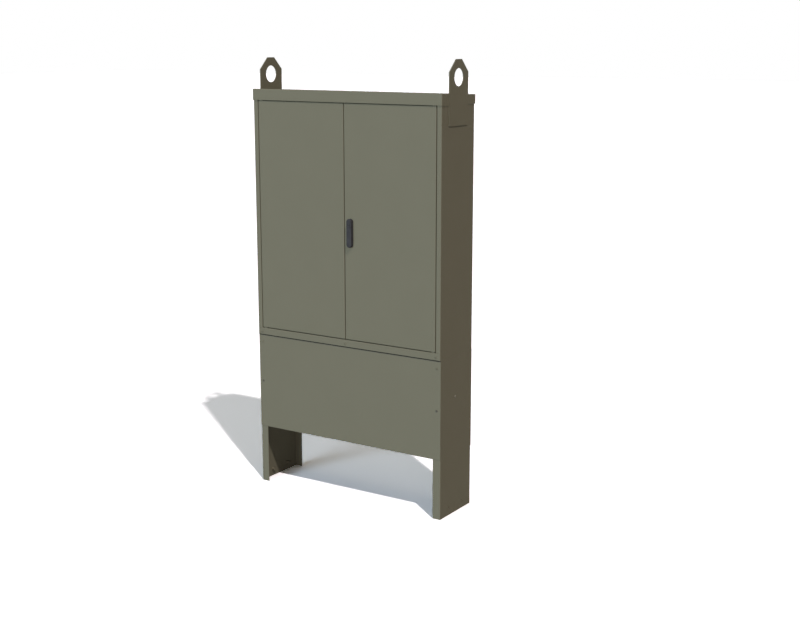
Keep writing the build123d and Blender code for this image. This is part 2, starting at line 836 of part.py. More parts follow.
def guide(x, level):
    """Angle bracket on the door sheet with a hole that guides a rod."""
    half = guide_width / 2
    seat = front + sheet
    rear = rod_y + rod_radius + rod_clearance
    section = folded([(seat, level - guide_height), (seat, level), (rear, level)], guide_sheet,
                     guide_bend, Side.RIGHT)
    bracket = Pos(x, 0, 0) * across(section, half)
    return bracket - rod((x, rod_y, level - overrun), UP, rod_radius + rod_guide_clearance, overrun * 2)


def rod_guides():
    """One guide bracket for each lock rod."""
    return group([guide(handle_x, hub_z + guide_offset), guide(handle_x, hub_z - guide_offset)])


def hand_bolt(direction, end):
    """Round bolt with a thumb knob, drawn back inside the left door."""
    away = DOWN if direction == UP else UP
    knob = (-handle_x, rod_y, end - direction[2] * bolt_length * bolt_knob_share)
    bolt = rod((-handle_x, rod_y, end), away, rod_radius, bolt_length)
    return bolt + rod(knob, BACKWARD, bolt_knob_radius, bolt_knob_reach)


def left_bolt_guides():
    """Two guide brackets for each hand bolt."""
    levels = []
    for end, side in ((door_top, -1), (door_bottom, 1)):
        first = end + side * (door_hem + bolt_guide_offset)
        levels += [first, first + side * bolt_guide_length]
    return group(guide(-handle_x, level) for level in levels)


def gland_plate():
    """Removable plate over the cable entry, with a row of round holes."""
    half_length = gland_plate_width / 2
    half_depth = gland_plate_depth / 2
    seat = base_height + sheet
    plate = box(-half_length, half_length, -half_depth, half_depth, seat, seat + gland_plate_sheet)
    for x in grommet_places():
        plate -= rod((x, 0, base_height - overrun), UP, grommet_radius, overrun * 3)
    return plate


def grommet_places():
    """Even places of the grommets along the gland plate."""
    pitch = gland_plate_width / grommet_count
    return [(i - (grommet_count - 1) / 2) * pitch for i in range(grommet_count)]


def cable_grommets():
    """Stepped rubber membranes that close the entry until a cable is cut in."""
    low = base_height + sheet
    high = low + gland_plate_sheet
    lip = grommet_radius + grommet_lip
    outline = make_face(Polyline(
        (0, low), (grommet_radius, low), (grommet_radius, high), (lip, high),
        (lip, high + grommet_lip_height), (grommet_radius, high + grommet_lip_height),
        (grommet_tip_radius, high + grommet_cone_height), (0, high + grommet_cone_height), close=True,
    ))
    grommet = revolve(Plane.XZ * outline, Axis.Z)
    return group(Pos(x, 0, 0) * grommet for x in grommet_places())


def right_upright():
    """Channel from floor to top plate that carries the equipment."""
    fore = upright_back - upright_depth
    section = folded([(upright_inner, upright_back), (upright_inner, fore), (upright_outer, fore),
                      (upright_outer, upright_back)], sheet, bend, Side.LEFT)
    return upwards(section, base_height + sheet, top_level - sheet)


def mounting_rail(level):
    """Channel across both uprights."""
    half = mounting_rail_height / 2
    rear = rail_front + mounting_rail_depth
    section = folded([(rear, level - half), (rail_front, level - half), (rail_front, level + half),
                      (rear, level + half)], sheet, bend, Side.RIGHT)
    return across(section, upright_outer)


def module_x(column):
    """Middle of a column of modules."""
    return (column - (module_frame_count - 1) / 2) * module_frame_pitch


def module_levels():
    """Levels of the modules in a column, centred between the two rails."""
    middle = (lower_rail_level + upper_rail_level) / 2
    return [middle + (i - (module_count - 1) / 2) * module_pitch for i in range(module_count)]


def module_frame(column):
    """Trough that a column of modules clips to, seated on both rails."""
    half = module_frame_width / 2
    x = module_x(column)
    section = folded([(x - half, rail_front), (x - half, frame_front), (x + half, frame_front),
                      (x + half, rail_front)], sheet, bend, Side.LEFT)
    reach = mounting_rail_height / 2 + module_frame_spare
    return upwards(section, lower_rail_level - reach, upper_rail_level + reach)


def connection_modules(column):
    """Moulded connection strips with a wiring groove along the front."""
    points = [(frame_front - depth * module_depth, height * module_height)
              for depth, height in module_outline_shares]
    strip = across(make_face(Polyline(*points, close=True)), module_width / 2)
    return group(Pos(module_x(column), 0, level) * strip for level in module_levels())


def earth_bar():
    """Flat earthing bar drilled for its screws."""
    rear = side_flange_back - earth_support_length
    half = earth_bar_height / 2
    bar = box(-earth_bar_length / 2, earth_bar_length / 2, rear - earth_bar_thickness, rear,
              earth_bar_level - half, earth_bar_level + half)
    for x in earth_screw_places():
        bar -= rod((x, rear + overrun, earth_bar_level), FORWARD, earth_screw_radius,
                   earth_bar_thickness + overrun * 2)
    return bar


def earth_screw_places():
    """Even places of the earth screws between the bar's supports."""
    span = earth_bar_length - earth_support_inset * 4
    return [(i / (earth_screw_count - 1) - 0.5) * span for i in range(earth_screw_count)]


def earth_screws():
    """Clamping screws along the earth bar."""
    face = side_flange_back - earth_support_length - earth_bar_thickness
    screws = []
    for x in earth_screw_places():
        head = rod((x, face, earth_bar_level), FORWARD, earth_screw_head_radius, earth_screw_head_height)
        shank = rod((x, face, earth_bar_level), BACKWARD, earth_screw_radius - earth_screw_clearance,
                    earth_bar_thickness * 2)
        screws.append(head + shank)
    return group(screws)


def earth_bar_supports():
    """Round insulators between the back panel and the earth bar."""
    x = earth_bar_length / 2 - earth_support_inset
    places = [(side * x, side_flange_back, earth_bar_level) for side in (-1, 1)]
    return group(rod(place, FORWARD, earth_support_radius, earth_support_length) for place in places)


def all_pieces():
    """Every piece of the cabinet under its node name."""
    leg = right_leg()
    rail = front_base_rail()
    cover = base_front_cover()
    side_panel = right_side_panel()
    lug = right_lifting_lug()
    upright = right_upright()
    stiffener = right_door_stiffener()
    gasket = right_door_gasket()
    pieces = {
        "left_leg": mirrored(leg),
        "right_leg": leg,
        "front_base_rail": rail,
        "rear_base_rail": mirror(rail, about=Plane.XZ),
        "base_front_cover": cover,
        "base_rear_cover": mirror(cover, about=Plane.XZ),
        "cover_screws": cover_screws(),
        "cable_clamp_rail": cable_clamp_rail(),
        "clamp_rail_screws": group([screw((base_width / 2, clamp_rail_shift, clamp_rail_level), RIGHT),
                                    screw((-base_width / 2, clamp_rail_shift, clamp_rail_level), LEFT)]),
        "floor_tray": floor_tray(),
        "gland_plate": gland_plate(),
        "cable_grommets": cable_grommets(),
        "left_side_panel": mirrored(side_panel),
        "right_side_panel": side_panel,
        "back_panel": back_panel(),
        "top_tray": top_tray(),
        "centre_post": centre_post(),
        "frame_bolts": frame_bolts(),
        "sill_screws": sill_screws(),
        "hinge_pins": hinge_pins(),
        "roof": roof(),
        "roof_supports": roof_supports(),
        "left_lifting_lug": mirrored(lug),
        "right_lifting_lug": lug,
        "left_upright": mirrored(upright),
        "right_upright": upright,
        "lower_mounting_rail": mounting_rail(lower_rail_level),
        "upper_mounting_rail": mounting_rail(upper_rail_level),
        "earth_bar": earth_bar(),
        "earth_bar_supports": earth_bar_supports(),
        "earth_screws": earth_screws(),
        "left_door": mirrored(right_door_pan()),
        "left_door_stiffener": mirrored(stiffener),
        "left_door_gasket": mirrored(gasket),
        "left_hinge_bushes": hinge_bushes(-hinge_x),
        "left_bolt_guides": left_bolt_guides(),
        "left_upper_bolt": hand_bolt(UP, door_top - rod_end_inset),
        "left_lower_bolt": hand_bolt(DOWN, door_bottom + rod_end_inset),
        "right_door": right_door(),
        "right_door_stiffener": stiffener,
        "right_door_gasket": gasket,
        "right_hinge_bushes": hinge_bushes(hinge_x),
        "handle_base": handle_base(),
        "handle_screws": handle_screws(),
        "handle_hub": handle_hub(),
        "lever_pin": lever_pin(),
        "handle_lever": handle_lever(),
        "lock_cam": lock_cam(),
        "cam_screw": cam_screw(),
        "rod_guides": rod_guides(),
        "upper_lock_rod": upper_lock_rod(),
        "lower_lock_rod": lower_lock_rod(),
    }
    for column in range(module_frame_count):
        pieces[f"module_frame_{column + 1}"] = module_frame(column)
        pieces[f"connection_modules_{column + 1}"] = connection_modules(column)
    return pieces


os.makedirs("parts", exist_ok=True)
for name, piece in all_pieces().items():
    export_step(piece, f"parts/{name}.step")
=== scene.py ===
import math

import bpy
import numpy as np
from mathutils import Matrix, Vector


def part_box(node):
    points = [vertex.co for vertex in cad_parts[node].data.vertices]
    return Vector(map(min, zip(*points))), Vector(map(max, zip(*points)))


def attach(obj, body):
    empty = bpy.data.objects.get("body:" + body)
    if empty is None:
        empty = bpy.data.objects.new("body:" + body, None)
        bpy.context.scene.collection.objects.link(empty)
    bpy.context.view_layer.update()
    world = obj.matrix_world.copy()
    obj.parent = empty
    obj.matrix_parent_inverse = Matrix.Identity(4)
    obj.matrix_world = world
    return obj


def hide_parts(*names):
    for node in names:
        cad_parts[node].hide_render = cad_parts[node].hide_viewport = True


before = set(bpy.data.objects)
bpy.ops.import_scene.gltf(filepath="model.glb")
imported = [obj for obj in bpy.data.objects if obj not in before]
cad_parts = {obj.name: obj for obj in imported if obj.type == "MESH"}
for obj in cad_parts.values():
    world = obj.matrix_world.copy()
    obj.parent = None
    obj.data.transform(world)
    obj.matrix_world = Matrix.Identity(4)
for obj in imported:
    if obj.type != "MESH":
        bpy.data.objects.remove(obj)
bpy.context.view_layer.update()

# Telecom distribution cabinet: the finish of every sheet, screw, seal and module, in metres, doors to -Y

MM = 0.001

# The camera's place and angles, solved from the lines of the cabinet in an image of 800 by 618 pixels
IMAGE_WIDTH_PX = 800
FOCAL_PX = 1294.9
SENSOR_WIDTH_MM = 36.0
CAMERA_PLACE = (3.2926, -4.7878, 2.0848)
CAMERA_TURN_DEG = 32.825
CAMERA_DIP_DEG = 11.755

# Far lamps: colour, strength, the way that the light travels and its spread in degrees
FAR_LAMPS = {
    "warm_sun": ("#FFECE2", 1.59, (-0.62, 0.465, -1.0), 1.4),
    "cool_front_fill": ("#E9F6FF", 2.11, (0.15, 0.96, -0.14), 30.0),
    "low_right_fill": ("#FFEDE5", 0.63, (-0.6, 0.8, -0.06), 20.0),
    "cool_rear_fill": ("#E8F6FF", 0.80, (0.45, -0.85, -0.04), 14.0),
}

# A warm sky that fades from overhead to the horizon, and is white where it is seen
WHITE = "#FFFFFF"
SKY_COLOUR = "#FFE9C8"
SKY_OVERHEAD = 0.34
SKY_FADE = 3.0

# A ground that throws back a third of the light, shown brighter and cooler, so that it is white in the sun
FLOOR_HALF_SIZE = 60.0
FLOOR_SHOWN = "#E9F2FF"
FLOOR_SHOWN_GAIN = 2.7
FLOOR_BOUNCE = "#9C9C9C"

# Screws: their places come from the frame
SCREW_HEAD_RADIUS = 5.5 * MM
SCREW_HEAD_HEIGHT = 3.0 * MM
SCREW_SHANK_RADIUS = 3.0 * MM
SCREW_LENGTH = 12.0 * MM
HANDLE_SCREW_LENGTH = 5.0 * MM
EARTH_HEAD_RADIUS = 6.5 * MM
EARTH_HEAD_HEIGHT = 5.0 * MM
EARTH_SHANK_RADIUS = 3.95 * MM
EARTH_SCREW_LENGTH = 10.0 * MM
EARTH_SCREW_COUNT = 7
SILL_SCREW_COUNT = 3
SCREW_POINTS = 36
TIP_SHARE = 0.7
TIP_CHAMFER_SHARE = 0.3
HEAD_SEAT_SHARE = 0.96
HEAD_EDGE_SHARE = 0.06
DOME_RINGS = 6
DOME_EDGE_SHARE = 0.5
DOME_TOP_SHARE = 1.25
SOCKET_SHARE = 0.46
SOCKET_DEPTH_SHARE = 0.62
SOCKET_FLOOR_SHARE = 0.9
SOCKET_FILLET_SHARE = 1.1
SOCKET_RINGS = 3

# Foam seals
SEAL_WIDTH = 12.0 * MM
SEAL_CORNER_STEPS = 7
SEAL_SECTION_STEPS = 13
SEAL_CROWN_POWER = 0.55

# Dark strips over the joints between the cabinet and the base's covers: painted shade for the gap and the
# overhang's shadow there
STRIP_CLEARANCE = 0.15 * MM
STRIP_LAP = 1.3 * MM
STRIP_DEPTH = 1.2 * MM
STRIP_POINTS = 24
STRIP_SQUARING = 0.4

# Connection modules
MODULE_COLUMNS = 4
MODULE_COUNT = 18
MODULE_HEIGHT = 22.0 * MM
MODULE_SLOTS = 20
MODULE_CHEEK = 8.0 * MM
SLOT_WIDTH_SHARE = 0.36
SLOT_DEPTH_SHARE = 0.2

# Module outline: share of the depth from the back, share of the height from the middle, 1 where a slot cuts
MODULE_OUTLINE_SHARES = np.array([
    (0.00, -0.50, 0), (0.45, -0.50, 0), (0.55, -0.42, 0), (0.97, -0.42, 1), (1.00, -0.39, 1),
    (1.00, -0.15, 1), (0.97, -0.12, 1), (0.72, -0.12, 0), (0.72, 0.12, 0), (0.97, 0.12, 1),
    (1.00, 0.15, 1), (1.00, 0.39, 1), (0.97, 0.42, 1), (0.55, 0.42, 0), (0.45, 0.50, 0), (0.00, 0.50, 0),
])

# Faces that meet at more than this show an edge
SHARP_EDGE_DEG = 35.0

# Most of a noise lies between these values
NOISE_LOW, NOISE_HIGH = 0.3, 0.7

# Sockets of the colour mix node, which share their names
MIX_SHARE, MIX_FIRST, MIX_SECOND, MIX_RESULT = 0, 6, 7, 2


def linear(code):
    """An sRGB hex value as linear red, green, blue and alpha."""
    part = np.array([int(code[i:i + 2], 16) for i in (1, 3, 5)]) / 255
    channels = np.where(part <= 0.04045, part / 12.92, ((part + 0.055) / 1.055) ** 2.4)
    return (*channels.tolist(), 1.0)


def add(tree, kind, sockets=None, **settings):
    """Adds a node with its settings; each socket gets a value, or a link where an output is given."""
    made = tree.nodes.new("ShaderNode" + kind)
    for option, value in settings.items():
        setattr(made, option, value)
    for socket, value in (sockets or {}).items():
        if isinstance(value, bpy.types.NodeSocket):
            tree.links.new(value, made.inputs[socket])
        else:
            made.inputs[socket].default_value = value
    return made


def begin(name):
    """A new material with an empty shader, its tree and the piece's own coordinates in metres."""
    material = bpy.data.materials.new(name)
    material.use_nodes = True
    tree = material.node_tree
    shader = tree.nodes["Principled BSDF"]
    place = add(tree, "TexCoord").outputs["Object"]
    return material, tree, shader, place


def pattern(tree, place, size_mm, detail=2.0, roughness=0.5):
    """Soft noise whose patches are about that many millimetres across."""
    noise = add(tree, "TexNoise", {"Vector": place, "Scale": 1 / (size_mm * MM), "Detail": detail,
                                   "Roughness": roughness})
    return noise.outputs["Fac"]


def colour(tree, shader, share, first, second, low=0.35, high=0.65):
    """Base colour between two hex values, as a pattern goes from low to high."""
    spread = add(tree, "MapRange", {"Value": share, "From Min": low, "From Max": high})
    mixed = add(tree, "Mix", {MIX_SHARE: spread.outputs["Result"], MIX_FIRST: linear(first),
                              MIX_SECOND: linear(second)}, data_type="RGBA")
    tree.links.new(mixed.outputs[MIX_RESULT], shader.inputs["Base Color"])


def gloss(tree, shader, share, low, high):
    """Roughness between two values, as a pattern goes from dark to light."""
    spread = add(tree, "MapRange", {"Value": share, "From Min": NOISE_LOW, "From Max": NOISE_HIGH,
                                    "To Min": low, "To Max": high})
    tree.links.new(spread.outputs["Result"], shader.inputs["Roughness"])


def relief(tree, shader, height, depth_mm, strength):
    """Bump from a pattern, as deep as that many millimetres."""
    bump = add(tree, "Bump", {"Height": height, "Distance": depth_mm * MM, "Strength": strength})
    tree.links.new(bump.outputs["Normal"], shader.inputs["Normal"])


def powder_coated_steel():
    """Polyester powder coat, sprayed and baked on sheet steel: an even moss grey with a low, soft sheen."""
    material, tree, shader, place = begin("powder_coated_steel_baked_moss_grey")
    # The melt levels to an orange peel about 2.5 mm across, drawn at 5 mm so that it shows at all
    peel = pattern(tree, place, 5.0, detail=1.0)
    # Film thickness drifts over a hand's length, which only just moves the shade
    drift = pattern(tree, place, 160.0, detail=3.0)
    colour(tree, shader, drift, "#78796A", "#797A6B")
    gloss(tree, shader, peel, 0.52, 0.60)
    relief(tree, shader, peel, 0.05, 0.25)
    shader.inputs["Specular IOR Level"].default_value = 0.02
    return material


def galvanised_steel():
    """Hot-dip galvanised sheet: cold grey zinc frozen into feathered spangles of differing gloss."""
    material, tree, shader, place = begin("galvanised_steel_hot_dip_spangle")
    # Spangles 14 mm across, each crystal with its own shade
    crystals = add(tree, "TexVoronoi", {"Vector": place, "Scale": 1 / (14 * MM), "Randomness": 1.0})
    shade = add(tree, "SeparateColor", {"Color": crystals.outputs["Color"]}).outputs["Red"]
    frost = pattern(tree, place, 3.0, detail=4.0)
    colour(tree, shader, shade, "#8F9497", "#B2B7B9", low=0.0, high=1.0)
    gloss(tree, shader, shade, 0.34, 0.52)
    relief(tree, shader, frost, 0.03, 0.3)
    shader.inputs["Metallic"].default_value = 1.0
    return material


def zinc_plated_steel():
    """Bright zinc plate on turned and formed steel: pale, faintly blue, with fine handling haze."""
    material, tree, shader, place = begin("zinc_plated_steel_turned")
    haze = pattern(tree, place, 2.0, detail=5.0)
    cast = pattern(tree, place, 9.0, detail=2.0)
    colour(tree, shader, cast, "#A6A8A6", "#C3C6C8")
    gloss(tree, shader, haze, 0.26, 0.42)
    relief(tree, shader, haze, 0.02, 0.25)
    shader.inputs["Metallic"].default_value = 1.0
    return material


def coated_pin_steel():
    """Turned hinge pins, coated with the cabinet: the same moss grey, rubbed glossier by the bushes."""
    material, tree, shader, place = begin("powder_coated_pin_steel_turned")
    # Tool lines are 0.2 mm apart, drawn nearly 2 mm apart so that they show faintly through the coat
    lines = add(tree, "TexWave", {"Vector": place, "Scale": 1 / (6 * MM), "Distortion": 0.4},
                wave_type="BANDS", bands_direction="Z").outputs["Fac"]
    film = pattern(tree, place, 12.0, detail=3.0)
    colour(tree, shader, film, "#717263", "#7A7B6C")
    gloss(tree, shader, film, 0.44, 0.56)
    relief(tree, shader, lines, 0.02, 0.2)
    shader.inputs["Specular IOR Level"].default_value = 0.1
    return material


def screw_steel_with_painted_shade():
    """Screws coated with the cabinet's colour, made darker than the sheet as painted shade for the shadow
    that their heads cast.
    """
    material, tree, shader, place = begin("powder_coated_screw_steel_painted_shade")
    grain = pattern(tree, place, 1.5, detail=3.0)
    # Darker than the sheet as painted shade: the shadow that the heads cast round themselves
    colour(tree, shader, grain, "#4A4B42", "#58594E")
    gloss(tree, shader, grain, 0.42, 0.55)
    relief(tree, shader, grain, 0.02, 0.3)
    shader.inputs["Specular IOR Level"].default_value = 0.3
    return material


def flake_coated_steel_and_highlight():
    """Screws dipped and spun in zinc flake paint: a dry grey with a fine sparkle, paler than the sheet
    partly from the coating and partly as a painted highlight on the heads.
    """
    material, tree, shader, place = begin("zinc_flake_coated_screw_steel_painted_highlight")
    # Flakes are under 0.05 mm, drawn at 0.7 mm so that they show
    flakes = pattern(tree, place, 0.7, detail=3.0, roughness=0.7)
    # The pale tone is partly the coating's own and partly a painted highlight on the heads
    colour(tree, shader, flakes, "#7E7F73", "#8C8D81")
    gloss(tree, shader, flakes, 0.50, 0.66)
    relief(tree, shader, flakes, 0.02, 0.3)
    shader.inputs["Specular IOR Level"].default_value = 0.2
    return material


def cellular_rubber_and_painted_shade():
    """Closed-cell foam rubber, cut in strips: black and dull, with pinprick cells in the cut skin; the same
    black darkens the strips of painted shade in the covers' joints.
    """
    material, tree, shader, place = begin("cellular_rubber_foamed_strip_and_painted_shade")
    # Cells are under 1 mm, drawn at 1.6 mm so that they show
    cells = add(tree, "TexVoronoi", {"Vector": place, "Scale": 1 / (1.6 * MM)}).outputs["Distance"]
    bloom = pattern(tree, place, 25.0, detail=3.0)
    colour(tree, shader, bloom, "#191918", "#262625")
    gloss(tree, shader, bloom, 0.80, 0.92)
    relief(tree, shader, cells, 0.3, 0.5)
    shader.inputs["Specular IOR Level"].default_value = 0.3
    return material


def moulded_rubber():
    """Compression-moulded rubber: near black, with a faint grey bloom and a smooth, soft sheen."""
    material, tree, shader, place = begin("synthetic_rubber_compression_moulded")
    bloom = pattern(tree, place, 12.0, detail=4.0)
    skin = pattern(tree, place, 1.5, detail=2.0)
    colour(tree, shader, bloom, "#1E1F20", "#303132")
    gloss(tree, shader, skin, 0.58, 0.74)
    relief(tree, shader, skin, 0.05, 0.25)
    return material


def handle_polyamide():
    """Glass-filled polyamide, moulded in a spark-eroded tool: charcoal grey with a fine, dry grain."""
    material, tree, shader, place = begin("glass_filled_polyamide_spark_grain")
    # Erosion grain is 0.4 mm, drawn at 1.2 mm so that it shows
    grain = pattern(tree, place, 1.2, detail=2.0, roughness=0.7)
    flow = pattern(tree, place, 30.0, detail=2.0)
    colour(tree, shader, flow, "#3A3C40", "#414347")
    gloss(tree, shader, grain, 0.46, 0.60)
    relief(tree, shader, grain, 0.06, 0.4)
    shader.inputs["Specular IOR Level"].default_value = 0.06
    return material


def module_polyester():
    """Flame-retardant polyester, injection moulded: warm light grey, satin, with weak flow marks."""
    material, tree, shader, place = begin("polyester_thermoplastic_injection_moulded")
    flow = pattern(tree, place, 22.0, detail=3.0)
    satin = pattern(tree, place, 1.0, detail=2.0)
    colour(tree, shader, flow, "#BDBAAF", "#CBC8BE")
    gloss(tree, shader, satin, 0.38, 0.50)
    relief(tree, shader, satin, 0.03, 0.25)
    return material


def bush_acetal():
    """Moss grey acetal, turned from rod: dull and waxy, with faint tool rings."""
    material, tree, shader, place = begin("moss_grey_acetal_turned_rod")
    # Tool rings are 0.2 mm apart, drawn nearly 2 mm apart so that they show
    rings = add(tree, "TexWave", {"Vector": place, "Scale": 1 / (6 * MM), "Distortion": 0.6},
                wave_type="BANDS", bands_direction="Z").outputs["Fac"]
    wax = pattern(tree, place, 5.0, detail=2.0)
    colour(tree, shader, wax, "#6C6D5F", "#767768")
    gloss(tree, shader, wax, 0.40, 0.52)
    relief(tree, shader, rings, 0.02, 0.3)
    shader.inputs["Specular IOR Level"].default_value = 0.1
    return material


def drawn_copper():
    """Hard-drawn copper bar: salmon metal with die lines along its length and light brown tarnish."""
    material, tree, shader, place = begin("copper_hard_drawn_bar")
    # Die lines 0.5 mm apart, drawn 1.2 mm apart and a hundred times longer, along X
    stretched = add(tree, "Mapping", {"Vector": place, "Scale": (0.01, 1.0, 1.0)}).outputs["Vector"]
    lines = pattern(tree, stretched, 1.2, detail=2.0)
    tarnish = pattern(tree, place, 18.0, detail=5.0)
    colour(tree, shader, tarnish, "#AC7B63", "#D0A088")
    gloss(tree, shader, lines, 0.28, 0.44)
    relief(tree, shader, lines, 0.02, 0.35)
    shader.inputs["Metallic"].default_value = 1.0
    return material


def insulator_resin():
    """Glass-filled polyester resin, hot-pressed: brick red and dense, with pale fibre flecks."""
    material, tree, shader, place = begin("polyester_resin_hot_pressed")
    flecks = pattern(tree, place, 2.5, detail=4.0, roughness=0.7)
    colour(tree, shader, flecks, "#6F231C", "#8A3A2E")
    gloss(tree, shader, flecks, 0.36, 0.52)
    relief(tree, shader, flecks, 0.03, 0.3)
    return material


def skin(name, rings, looped=False):
    """A closed mesh over stacks of rings, given as an array of copies, stations, points and x, y, z.

    Each ring's points join round, and each station joins the next by quads, point to point. The last
    station joins the first where the stack is looped, and otherwise a flat face closes both end rings."""
    copies, stations, points, _ = rings.shape
    index = np.arange(copies * stations * points).reshape(copies, stations, points)
    here = index if looped else index[:, :-1]
    after = np.roll(index, -1, axis=1) if looped else index[:, 1:]
    quads = np.stack([here, np.roll(here, -1, axis=2), np.roll(after, -1, axis=2), after], axis=-1)
    faces = quads.reshape(-1, 4).tolist()
    if not looped:
        faces += index[:, 0, ::-1].tolist() + index[:, -1].tolist()
    mesh = bpy.data.meshes.new(name)
    mesh.from_pydata(rings.reshape(-1, 3), [], faces)
    mesh.polygons.foreach_set("use_smooth", np.ones(len(faces), bool))
    mesh.set_sharp_from_angle(angle=math.radians(SHARP_EDGE_DEG))
    piece = bpy.data.objects.new(name, mesh)
    bpy.context.scene.collection.objects.link(piece)
    return piece


def screw_rings(head_radius, head_height, shank_radius, length):
    """A socket screw along its own axis, as rings of radius and height.

    The profile runs from the tip up the shank, out under the head, over a dome that falls by the square
    of the radius, and down a six-sided socket. A socket ring's radius is its half width over the cosine of
    the angle to the nearest flat's middle."""
    turn = np.linspace(0, 2 * np.pi, SCREW_POINTS, endpoint=False)
    flat = np.mod(turn + np.pi / 6, np.pi / 3) - np.pi / 6
    socket = head_radius * SOCKET_SHARE
    floor = head_height * (1 - SOCKET_DEPTH_SHARE)
    dome = np.linspace(1.0, SOCKET_SHARE * DOME_TOP_SHARE, DOME_RINGS)
    rise = (1 - dome ** 2) / (1 - dome[-1] ** 2)
    crown = head_height * (DOME_EDGE_SHARE + (1 - DOME_EDGE_SHARE) * rise)
    radius = np.concatenate([
        [shank_radius * TIP_SHARE, shank_radius, shank_radius, head_radius * HEAD_SEAT_SHARE, head_radius],
        head_radius * dome,
        [socket, socket, socket * SOCKET_FLOOR_SHARE],
    ])
    height = np.concatenate([
        [-length, -length + shank_radius * TIP_CHAMFER_SHARE, 0, 0, head_height * HEAD_EDGE_SHARE],
        crown,
        [head_height, floor * SOCKET_FILLET_SHARE, floor],
    ])
    sided = np.concatenate([np.zeros(len(radius) - SOCKET_RINGS), np.ones(SOCKET_RINGS)])
    widen = 1 + sided[:, None] * (1 / np.cos(flat)[None, :] - 1)
    across = radius[:, None] * widen
    return np.stack([across * np.cos(turn), across * np.sin(turn), height[:, None] + 0 * across], axis=-1)


def screws(name, places, direction, size):
    """Copies of one screw seated at places, each head outwards along a direction."""
    rings = screw_rings(*size)
    out = np.array(direction, float)
    side = np.array([0.0, 0.0, 1.0])
    frame_axes = np.stack([side, np.cross(out, side), out])
    return skin(name, np.array(places, float)[:, None, None, :] + (rings @ frame_axes)[None])


def dress(piece, body, nodes, material):
    """Gives a new piece its material and body, and hides the solids that it stands for."""
    piece.data.materials.append(material)
    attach(piece, body)
    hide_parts(*nodes)


def inset_box(node, inset):
    """Lowest and highest corner of a node's box, each drawn in by that much."""
    low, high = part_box(node)
    return np.array(low) + np.array(inset), np.array(high) - np.array(inset)


def foam_seal(name, node):
    """Crowned foam strip round the back of a door.

    The section is flat on the hem and rises by a low power of the sine of the angle across it. It is
    carried round a rectangle with rounded corners, along the strip's middle line."""
    low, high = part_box(node)
    half_section = SEAL_WIDTH / 2
    middle = (np.array(low) + np.array(high)) / 2
    reach = (np.array(high) - np.array(low)) / 2 - half_section
    corner = half_section
    swing = np.linspace(0, np.pi / 2, SEAL_CORNER_STEPS)
    angle = (np.arange(4)[:, None] * np.pi / 2 + swing[None, :]).ravel()
    sign_x = np.repeat([1, -1, -1, 1], SEAL_CORNER_STEPS)
    sign_z = np.repeat([1, 1, -1, -1], SEAL_CORNER_STEPS)
    line_x = middle[0] + sign_x * (reach[0] - corner) + corner * np.cos(angle)
    line_z = middle[2] + sign_z * (reach[2] - corner) + corner * np.sin(angle)
    sweep = np.linspace(0, np.pi, SEAL_SECTION_STEPS)
    out = half_section * np.cos(sweep)
    rise = (high[1] - low[1]) * np.sin(sweep).clip(0) ** SEAL_CROWN_POWER
    rings = np.stack([
        line_x[:, None] + out * np.cos(angle)[:, None],
        low[1] + rise + 0 * line_x[:, None],
        line_z[:, None] + out * np.sin(angle)[:, None],
    ], axis=-1)
    return skin(name, rings[None], looped=True)


def painted_shade_strip(name, cover, side):
    """Dark strip over the joint above a cover, lapped on its top edge, a painted shade for the gap and the
    overhang's shadow; side is -1 in front and 1 behind.

    The section is a squared circle: its two coordinates are the cosine and sine of the turn, each raised
    to a low power with its sign kept. It is fitted to the joint's height and the lap, and carried
    along X."""
    low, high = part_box(cover)
    bottom = high[2] - STRIP_LAP
    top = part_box("floor_tray")[0][2] - STRIP_CLEARANCE
    face = low[1] if side < 0 else high[1]
    middle = face + side * (STRIP_CLEARANCE + STRIP_DEPTH / 2)
    turn = np.linspace(0, 2 * np.pi, STRIP_POINTS, endpoint=False)
    across, up = (np.sign(part) * np.abs(part) ** STRIP_SQUARING for part in (np.cos(turn), np.sin(turn)))
    x = np.array([low[0], high[0]])[:, None] + 0 * turn
    y = middle + STRIP_DEPTH / 2 * across + 0 * x
    z = (bottom + top) / 2 + (top - bottom) / 2 * up + 0 * x
    return skin(name, np.stack([x, y, z], axis=-1)[None])


def wiring_modules(name, node):
    """A column of connection modules with wire slots along both jaws.

    The outline is carried along X. Its jaw points step back by the slot's depth at each slot, where the
    stations are doubled, so that the slot's walls are upright."""
    low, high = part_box(node)
    middle_x = (low[0] + high[0]) / 2
    half = (high[0] - low[0]) / 2
    pitch = 2 * (half - MODULE_CHEEK) / MODULE_SLOTS
    start = -half + MODULE_CHEEK + (np.arange(MODULE_SLOTS) + 0.5 - SLOT_WIDTH_SHARE / 2) * pitch
    end = start + SLOT_WIDTH_SHARE * pitch
    edges = np.stack([start, start, end, end], axis=-1).ravel()
    x = np.concatenate([[-half], edges, [half]]) + middle_x
    cut = np.concatenate([[0], np.tile([0, 1, 1, 0], MODULE_SLOTS), [0]])
    share, height, jaw = MODULE_OUTLINE_SHARES.T
    depth = (high[1] - low[1]) * (share[None, :] - cut[:, None] * jaw[None, :] * SLOT_DEPTH_SHARE)
    levels = np.linspace(low[2] + MODULE_HEIGHT / 2, high[2] - MODULE_HEIGHT / 2, MODULE_COUNT)
    y = (high[1] - depth)[None] + 0 * levels[:, None, None]
    z = levels[:, None, None] + height[None, None, :] * MODULE_HEIGHT + 0 * depth[None]
    rings = np.stack([x[None, :, None] + 0 * y, y, z], axis=-1)
    return skin(name, rings)


